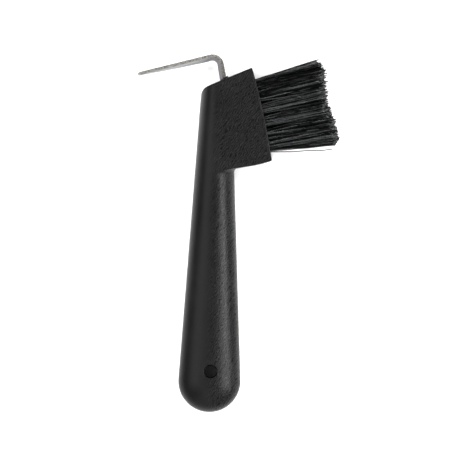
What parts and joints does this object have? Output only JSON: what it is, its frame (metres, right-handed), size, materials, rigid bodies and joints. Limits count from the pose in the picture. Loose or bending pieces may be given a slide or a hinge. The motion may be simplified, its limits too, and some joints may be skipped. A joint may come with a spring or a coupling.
{
  "type": "hoof pick with brush",
  "caption": "Hoof pick: moulded oval handle with a hang hole, a bent steel pick set in the head and a tufted brush on the head's far face.",
  "frame": {"origin": "middle of the whole outline's box, on the surface that the pick lies on, flat side down", "axes": "+Y up the grip from the rounded butt to the head, with the grip 1.44 degrees clockwise of it as in the picture, +X the way the bristles point, +Z square to the flat sides of the head"},
  "size_m": [0.1064, 0.1904, 0.02],
  "materials": {
    "handle_plastic": "black, fine pebble grain, slightly satin",
    "pick_steel": "drawn and ground steel, dull, slightly speckled",
    "bristle": "stiff black synthetic filament, satin",
    "anchor_wire": "flat drawn wire"
  },
  "bodies": {
    "root": {"handle": "handle_plastic", "pick": "pick_steel", "tuft_anchors": "anchor_wire", "tuft_upper_1": "bristle", "tuft_upper_2": "bristle", "tuft_upper_3": "bristle", "tuft_upper_4": "bristle", "tuft_upper_5": "bristle", "tuft_upper_6": "bristle", "tuft_middle_1": "bristle", "tuft_middle_2": "bristle", "tuft_middle_3": "bristle", "tuft_middle_4": "bristle", "tuft_middle_5": "bristle", "tuft_lower_1": "bristle", "tuft_lower_2": "bristle", "tuft_lower_3": "bristle", "tuft_lower_4": "bristle", "tuft_lower_5": "bristle", "tuft_lower_6": "bristle"}
  },
  "joints": []
}
